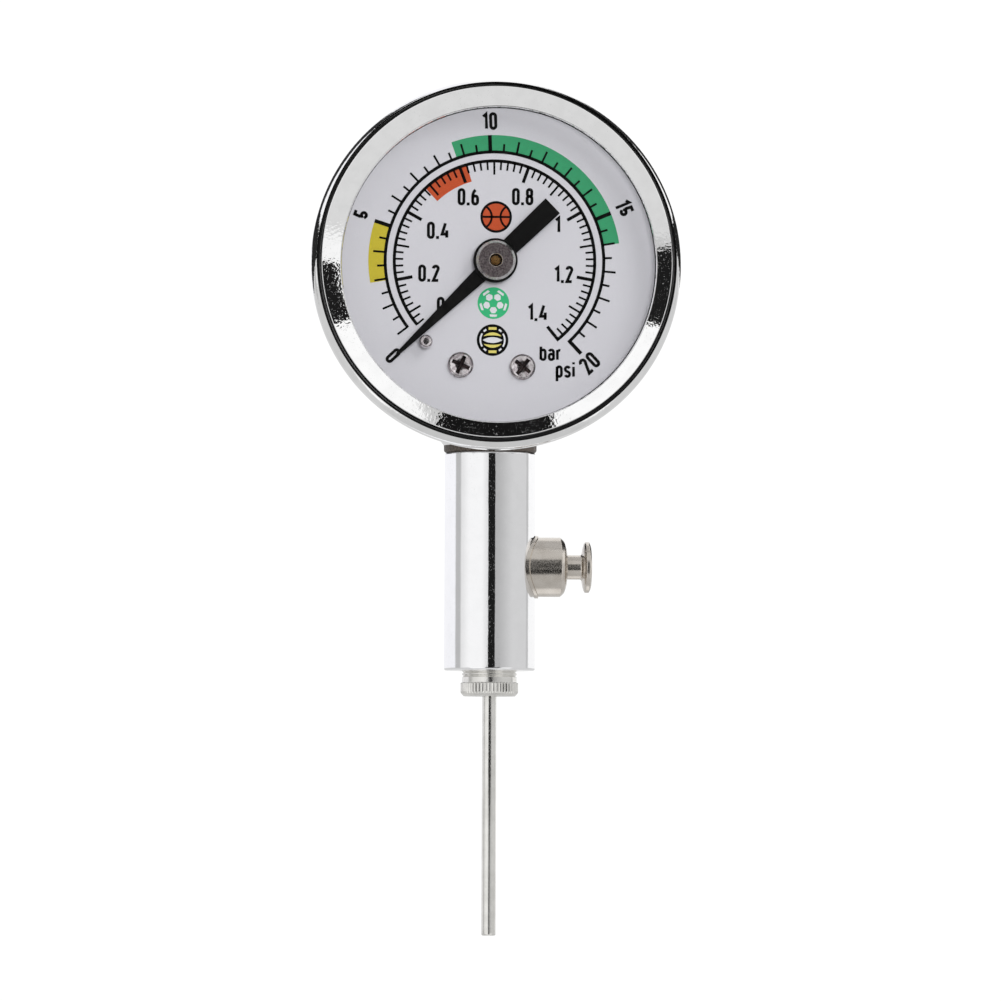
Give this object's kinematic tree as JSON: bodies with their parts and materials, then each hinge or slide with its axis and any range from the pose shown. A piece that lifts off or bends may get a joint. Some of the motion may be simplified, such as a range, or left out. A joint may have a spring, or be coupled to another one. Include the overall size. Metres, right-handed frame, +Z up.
{
  "type": "ball pressure gauge",
  "caption": "Pocket dial gauge for inflated balls: round dial on a chromed stem, side bleed button and screw-in ball needle.",
  "frame": {"origin": "centre of the needle collar's lower face, on the axis of the needle and stem", "axes": "+Z up the stem to the dial, the dial faces -Y, the bleed button points to +X"},
  "size_m": [0.053, 0.0223, 0.1225],
  "materials": {
    "chrome": "bright chrome plate",
    "nickel": "bright nickel plate, slightly warm",
    "steel": "plain zinc-plated steel",
    "hub_metal": "dark turned metal",
    "brass": "turned brass",
    "bronze": "phosphor bronze",
    "black_paint": "satin black paint",
    "dial_paint": "satin white paint with printed scales",
    "rubber": "black nitrile rubber",
    "fibre": "red vulcanised fibre",
    "lens": "clear and polished"
  },
  "bodies": {
    "gauge": {"case_cup": "chrome", "bezel_ring": "chrome", "lens": "lens", "lens_gasket": "rubber", "dial_plate": "dial_paint", "dial_screw_left": "steel", "dial_screw_right": "steel", "zero_stop_pin": "steel", "bourdon_tube": "bronze", "movement_front_plate": "brass", "movement_back_plate": "brass", "movement_pillar_1": "brass", "movement_pillar_2": "brass", "movement_pillar_3": "brass", "movement_screw_left": "steel", "movement_screw_right": "steel", "hairspring": "bronze", "hairspring_stud": "steel", "socket_block": "brass", "stem_body": "chrome", "saddle_washer": "steel", "stem_gasket": "fibre", "valve_boss": "nickel", "bleed_spring": "steel"},
    "pointer_arm": {"pointer": "black_paint", "pointer_hub": "hub_metal", "pinion_spindle": "brass"},
    "sector": {"sector_gear": "brass", "sector_arbor": "steel", "link_pin_sector": "steel"},
    "tip": {"tube_tip": "brass", "link_pin_tip": "steel"},
    "link": {"link": "brass"},
    "button": {"bleed_button": "nickel", "bleed_seal": "rubber"},
    "washer": {"needle_washer": "rubber"},
    "needle": {"needle_collar": "nickel", "needle_tube": "nickel"}
  },
  "joints": [
    {"name": "pointer_turn", "type": "hinge", "parent": "gauge", "child": "pointer_arm", "pos_m": [0, 0, 0.0621], "axis": [0, 1, 0], "range_deg": [0, 270.5], "stiffness_Nm_per_rad": 0.0002, "springref_deg": -17.19, "deforming": ["hairspring"]},
    {"name": "sector_turn", "type": "hinge", "parent": "gauge", "child": "sector", "pos_m": [0.00778, 0, 0.05432], "axis": [0, 1, 0], "range_deg": [-27.1, 0]},
    {"name": "tip_swing", "type": "hinge", "parent": "gauge", "child": "tip", "pos_m": [0.00077, 0, 0.06868], "axis": [0, 1, 0], "range_deg": [-6.8, 0], "deforming": ["bourdon_tube"]},
    {"name": "link_swing", "type": "hinge", "parent": "tip", "child": "link", "pos_m": [0.01407, 0, 0.05373], "axis": [0, 1, 0], "range_deg": [0, 6.8]},
    {"name": "bleed_press", "type": "slide", "parent": "gauge", "child": "button", "axis": [-1, 0, 0], "range_m": [0, 0.0015], "stiffness_N_per_m": 150, "springref_m": -0.004, "deforming": ["bleed_spring"]},
    {"name": "needle_unscrew", "type": "slide", "parent": "gauge", "child": "washer", "axis": [0, 0, -1], "range_m": [0, 0.00635]},
    {"name": "needle_turn", "type": "hinge", "parent": "washer", "child": "needle", "pos_m": [0, 0, 0], "axis": [0, 0, -1], "range_deg": [0, 2880]}
  ],
  "couplings": [
    {"joint": "sector_turn", "follows": "pointer_turn", "ratio": -0.1},
    {"joint": "tip_swing", "follows": "pointer_turn", "ratio": -0.024783},
    {"joint": "link_swing", "follows": "pointer_turn", "ratio": 0.024783},
    {"joint": "needle_turn", "follows": "needle_unscrew", "rad_per_m": 7913.3}
  ]
}
